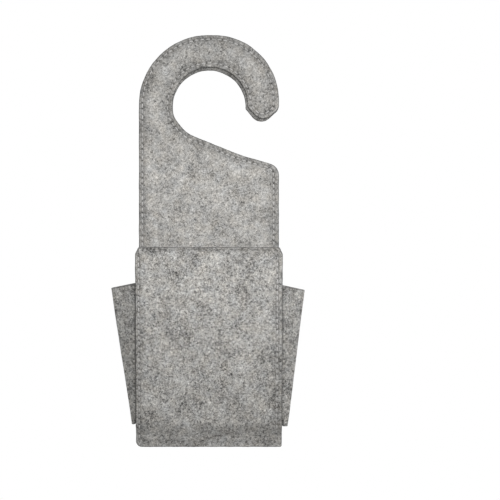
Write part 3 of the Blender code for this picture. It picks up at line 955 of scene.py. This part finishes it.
def strands(tree, vector, angle, length, width, detail):
    """Noise drawn out into fibres of one direction: bright where a fibre lies."""
    inputs = {"Vector": vector, "Angle": math.radians(angle)}
    turned = add(tree, "ShaderNodeVectorRotate", inputs, rotation_type="Z_AXIS").outputs[0]
    scaled = vector_maths(tree, "MULTIPLY", turned, {1: (1 / length, 1 / width, 1 / width)})
    return noise_value(tree, scaled, 1.0, detail)


def new_material(name, settings):
    """A material, its node tree and its shader, with the settings on the shader's own sockets."""
    material = bpy.data.materials.new(name)
    material.use_nodes = True
    shader = material.node_tree.nodes["Principled BSDF"]
    for label, value in settings.items():
        shader.inputs[label].default_value = value
    return material, material.node_tree, shader


def paint(tree, shader, colour, tone, relief, bump):
    """The colour darkened by the tone, and the relief as a bump."""
    grey = add(tree, "ShaderNodeCombineXYZ", {"X": tone, "Y": tone, "Z": tone}).outputs[0]
    tree.links.new(vector_maths(tree, "MULTIPLY", grey, {1: colour}), shader.inputs["Base Color"])
    normal = add(tree, "ShaderNodeBump", {"Height": relief, **bump}).outputs[0]
    tree.links.new(normal, shader.inputs["Normal"])


def make_felt_material(name, colour, contrast, seam_shade_share, hole_shade_share):
    """Mottled wool-mix felt: pale and dark fibres in all directions, darker at its cut edges from denser
    felt and painted shade, with painted shade in its seam valleys and needle holes.
    """
    material, tree, shader = new_material(name, FELT_SHADER)
    flat_place = mesh_value(tree, "felt_place", "Vector")
    place = vector_maths(tree, "SCALE", flat_place, {"Scale": MILLIMETRES})
    warp_inputs = {"Vector": place, "Scale": WARP_SCALE, "Detail": WARP_DETAIL}
    warp = add(tree, "ShaderNodeTexNoise", warp_inputs).outputs["Color"]
    centred = vector_maths(tree, "SUBTRACT", warp, {1: (NOISE_MIDDLE,) * 3})
    push = vector_maths(tree, "SCALE", centred, {"Scale": WARP_PUSH})
    bent = vector_maths(tree, "ADD", place, {1: push})

    tone = 1.0
    reliefs = {}
    for size, fibre in FIBRES.items():
        angles, length, width, detail, palest, pale_weight, dark_weight = fibre
        fibres = [strands(tree, bent, angle, length, width, detail) for angle in angles]
        reliefs[size] = combine(tree, "MAXIMUM", fibres)
        dark = combine(tree, "MINIMUM", fibres)
        tone = add_offset(tree, tone, reliefs[size], palest, pale_weight * contrast)
        tone = add_offset(tree, tone, dark, 1 - palest, dark_weight * contrast)
    for size, (scale, detail, roughness, weight) in MOTTLES.items():
        reliefs[size] = noise_value(tree, place, scale, detail, roughness)
        tone = add_offset(tree, tone, reliefs[size], NOISE_MIDDLE, weight * contrast)
    # Painted shade at cut edges (with the cut's denser felt), in creases, on the rear rim, in seam valleys
    # and in needle holes
    for label, loss_share in (
        ("cut_density_and_shade", CUT_DENSITY_AND_SHADE_SHARE),
        ("seam_valley_shade", seam_shade_share),
        ("needle_hole", hole_shade_share),
    ):
        kept = calculate(tree, "MULTIPLY_ADD", mesh_value(tree, label), -loss_share, 1.0)
        tone = calculate(tree, "MULTIPLY", tone, kept)
    tone = calculate(tree, "MAXIMUM", tone, LEAST_TONE)

    # The felt's slight change of hue, from a warmer end to a cooler one
    warmth = noise_value(tree, place, HUE_SCALE, HUE_DETAIL)
    hue = add(tree, "ShaderNodeMix", {0: warmth}, data_type="RGBA")
    for socket, shares in ((6, WARM_SHARES), (7, COOL_SHARES)):
        end = [channel * share for channel, share in zip(colour, shares)]
        hue.inputs[socket].default_value = (*end, 1)
    heights = []
    for size, height in RELIEF_HEIGHTS.items():
        heights.append(calculate(tree, "MULTIPLY", reliefs[size], height))
    paint(tree, shader, hue.outputs[2], tone, combine(tree, "ADD", heights), FELT_BUMP)
    return material


def make_thread_material(name, colour):
    """Spun polyester thread: pale plies, with painted shade in the grooves between them."""
    material, tree, shader = new_material(name, THREAD_SHADER)
    place = add(tree, "ShaderNodeTexCoord").outputs["Object"]
    specks = noise_value(tree, place, SPECK_SCALE, SPECK_DETAIL)
    inputs = {
        "Value": mesh_value(tree, "thread_lobe"),
        "From Min": 1 - THREAD_LOBE_SHARE,
        "From Max": 1 + THREAD_LOBE_SHARE,
        "To Min": PLY_SHADE_TONES[0],
        "To Max": PLY_SHADE_TONES[1],
    }
    ply = add(tree, "ShaderNodeMapRange", inputs).outputs[0]
    tone = add_offset(tree, ply, specks, NOISE_MIDDLE, SPECK_WEIGHT)
    tone = calculate(tree, "MULTIPLY", tone, mesh_value(tree, "stitch_tone"))
    paint(tree, shader, colour, tone, specks, THREAD_BUMP)
    return material


# The object


def declare_sheet(corners):
    """Works out the area of a sheet's outline, and keeps nothing."""
    outline_area(corners)


def dress_back(felt, thread):
    front_corners, rear_corners = hook_corners(1), hook_corners(0)
    edge_holes, rear_holes = panel_seam(), rear_seam()
    front = felt_sheet(
        "front_layer_felt", front_corners, edge_holes, front_layer_place, felt,
        FRONT_LAYER_SEED, shade_reach=PANEL_SHADE_REACH,
    )
    rear = felt_sheet(
        "rear_layer_felt", rear_corners, rear_holes, rear_layer_place, felt,
        REAR_LAYER_SEED, rim_shade_share=RIM_SHADE_SHARE,
    )
    edge_thread = sew("panel_edge_thread", edge_holes, front_layer_place, FELT / 2, thread)
    rear_thread = sew("rear_face_thread", rear_holes, rear_layer_place, FELT / 2, thread)
    for thing, node, corners, line in (
        (front, "back_panel_front_layer", front_corners, edge_thread),
        (rear, "back_panel_rear_layer", rear_corners, rear_thread),
    ):
        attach(thing, "back")
        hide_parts(node)
        declare_sheet(corners)
    for thing, node in ((edge_thread, "panel_edge_stitches"), (rear_thread, "rear_face_stitches")):
        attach(thing, "back")
        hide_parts(node)


def dress_pocket(felt, thread):
    sides, mouth_row, bottom_row = pocket_seams()
    corners = pocket_corners()
    seams = sides + [mouth_row, bottom_row]
    sheet = felt_sheet("pocket_felt", corners, seams, pocket_place, felt, POCKET_SEED)
    threads = [
        sew("left_pocket_side_thread", sides[:1], pocket_place, FELT / 2, thread),
        sew("right_pocket_side_thread", sides[1:], pocket_place, FELT / 2, thread),
    ]
    for thing in [sheet] + threads:
        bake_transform(thing)
    row_height = FELT / 2 - ROW_SUNK
    mouth = sew("pocket_mouth_thread", [mouth_row], pocket_place, row_height, thread, ROW_SHADE_TONE_SHARES)
    bottom = sew("pocket_bottom_thread", [bottom_row], pocket_place, row_height, thread, ROW_SHADE_TONE_SHARES)
    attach(mouth, "pocket_front")
    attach(bottom, "back")
    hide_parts("pocket_front_panel", "pocket_bottom_hem")
    for thing, node in (
        (threads[0], "left_pocket_side_stitches"),
        (threads[1], "right_pocket_side_stitches"),
        (mouth, "pocket_mouth_stitches"),
        (bottom, "pocket_bottom_stitches"),
    ):
        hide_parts(node)
    declare_sheet(corners)


def dress_gusset(name, side, raised, drifts, felt, thread):
    """One gusset: three stretches of felt and the rear seam. The side is -1 at the left."""
    gusset = Gusset(side, drifts)
    top = GUSSET_FOLD_LENGTH + raised
    low = GUSSET_FOOT + raised
    front_low = FRONT_FLANGE_FOOT * math.cos(GUSSET_HALF_ANGLE)
    rows = spaced(low, top, GUSSET_ROW_STEP, EDGE_ROUND)
    front_rows = spaced(front_low, top, GUSSET_ROW_STEP, EDGE_ROUND)

    def seam_line(v):
        return gusset.flat("rear", "flange", FLANGE_SEAM_INSET, v)

    def seam_place(u, v, h):
        return gusset.point("rear", "flange", FLANGE_SEAM_INSET + seam_line(v) - u, v, -h)

    seam_ends = (low + STITCH_PITCH / 2, top - STITCH_PITCH / 2)
    holes = needle_holes([(seam_line(v), v) for v in seam_ends])

    rear_stations = flange_stations("rear", gusset.bend_offset)
    rear_stations += [("rear", "leaf", REAR_LEAF_SHARE * step / 2) for step in (1, 2)]
    fold_stations = [
        ("rear", "leaf", REAR_LEAF_SHARE + (1 - REAR_LEAF_SHARE) * step / LEAF_STEPS)
        for step in range(LEAF_STEPS + 1)
    ]
    fold_stations += [("rear", "fold", step / FOLD_STEPS) for step in range(1, FOLD_STEPS + 1)]
    fold_stations += [("front", "fold", step / FOLD_STEPS) for step in range(FOLD_STEPS - 1, 0, -1)]
    fold_stations += [("front", "leaf", 1 - step / LEAF_STEPS) for step in range(LEAF_STEPS + 1)]
    front_stations = flange_stations("front", gusset.bend_offset)
    rear, fold, front = [
        gusset_sheet(f"{name}_gusset_{part}_felt", gusset, stations, part_rows, seams, cut, felt)
        for part, stations, part_rows, seams, cut in (
            ("rear", rear_stations, rows, [holes], True),
            ("fold", fold_stations, rows, [], False),
            ("front", front_stations, front_rows, [], True),
        )
    ]
    line = sew(name + "_gusset_rear_thread", [holes], seam_place, 0.0, thread)

    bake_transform(rear)
    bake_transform(fold)
    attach(front, "pocket_front")
    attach(line, "back")
    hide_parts(name + "_gusset_rear_flange")
    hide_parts(name + "_gusset_rear_leaf", name + "_gusset_front_leaf")
    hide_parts(name + "_gusset_front_flange")
    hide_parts(name + "_gusset_rear_stitches")


# Camera, lights and background


def place_lamp(lamp, place, target):
    thing = link_thing(lamp.name, lamp)
    thing.visible_camera = False
    thing.location = place
    thing.rotation_euler = (Vector(target) - Vector(place)).to_track_quat("-Z", "Y").to_euler()


def set_stage():
    world = bpy.data.worlds.new("studio")
    bpy.context.scene.world = world
    world.use_nodes = True
    tree = world.node_tree
    background = tree.nodes["Background"]
    path = add(tree, "ShaderNodeLightPath")
    seen = calculate(tree, "MAXIMUM", path.outputs["Is Camera Ray"], path.outputs["Is Glossy Ray"])
    seen = calculate(tree, "MAXIMUM", seen, path.outputs["Is Transmission Ray"])
    background.inputs["Color"].default_value = WHITE
    strength = calculate(tree, "MULTIPLY_ADD", seen, 1.0 - AMBIENT, AMBIENT)
    tree.links.new(strength, background.inputs["Strength"])

    pool = bpy.data.lights.new("front_lamp", "SPOT")
    pool.shadow_soft_size = POOL_RADIUS
    pool.spot_size = POOL_CONE
    pool.spot_blend = 1
    pool.energy = POOL_POWER
    place_lamp(pool, POOL_PLACE, POOL_TARGET)
    for name, place, size, power in SIDE_LAMPS:
        lamp = bpy.data.lights.new(name, "AREA")
        lamp.size = size
        lamp.energy = power
        place_lamp(lamp, place, (0, 0, (HOOK_RADIUS + PANEL_BOTTOM) / 2))
    reach = FLOOR_HALF_WIDTH
    corners = ((-reach, -reach), (reach, -reach), (reach, reach), (-reach, reach))
    floor = bpy.data.meshes.new("pale_floor")
    floor.from_pydata([(x, y, FLOOR_HEIGHT) for x, y in corners], [], [(0, 1, 2, 3)])
    settings = {"Base Color": FLOOR_COLOUR, "Roughness": FLOOR_ROUGHNESS}
    floor.materials.append(new_material("pale_floor", settings)[0])
    link_thing("pale_floor", floor)


def set_camera():
    data = bpy.data.cameras.new("photo_camera")
    data.sensor_width = SENSOR
    data.lens = SENSOR * CAMERA_DISTANCE / (FRAME_PIXELS * PIXEL)
    data.shift_x = 0.5 - ORIGIN_PIXEL_X / FRAME_PIXELS
    height = (ORIGIN_PIXEL_Y - FRAME_PIXELS / 2) * PIXEL
    camera = link_thing("photo_camera", data)
    camera.location = (0, FRONT_LAYER_LOW.y - CAMERA_DISTANCE, height)
    camera.rotation_euler = (math.pi / 2, 0, 0)
    bpy.context.scene.camera = camera


set_camera()
set_stage()
panel_felt = make_felt_material(
    "panel_felt", PANEL_COLOUR, contrast=1.68, seam_shade_share=0.29, hole_shade_share=0.8
)
pocket_felt = make_felt_material(
    "pocket_felt", POCKET_COLOUR, contrast=2.12, seam_shade_share=0.22, hole_shade_share=0.5
)
# The gussets' darker copy of the felt: painted shade
shaded_felt = make_felt_material(
    "shaded_felt", SHADED_GUSSET_COLOUR, contrast=2.65, seam_shade_share=0.28, hole_shade_share=0.72
)
grey_thread = make_thread_material("grey_thread", THREAD_COLOUR)
dress_back(panel_felt, grey_thread)
dress_pocket(pocket_felt, grey_thread)
dress_gusset("left", -1, LEFT_GUSSET_RAISED, LEFT_FOLD_DRIFTS, shaded_felt, grey_thread)
dress_gusset("right", 1, RIGHT_GUSSET_RAISED, RIGHT_FOLD_DRIFTS, shaded_felt, grey_thread)

bpy.context.scene.view_settings.view_transform = "Standard"
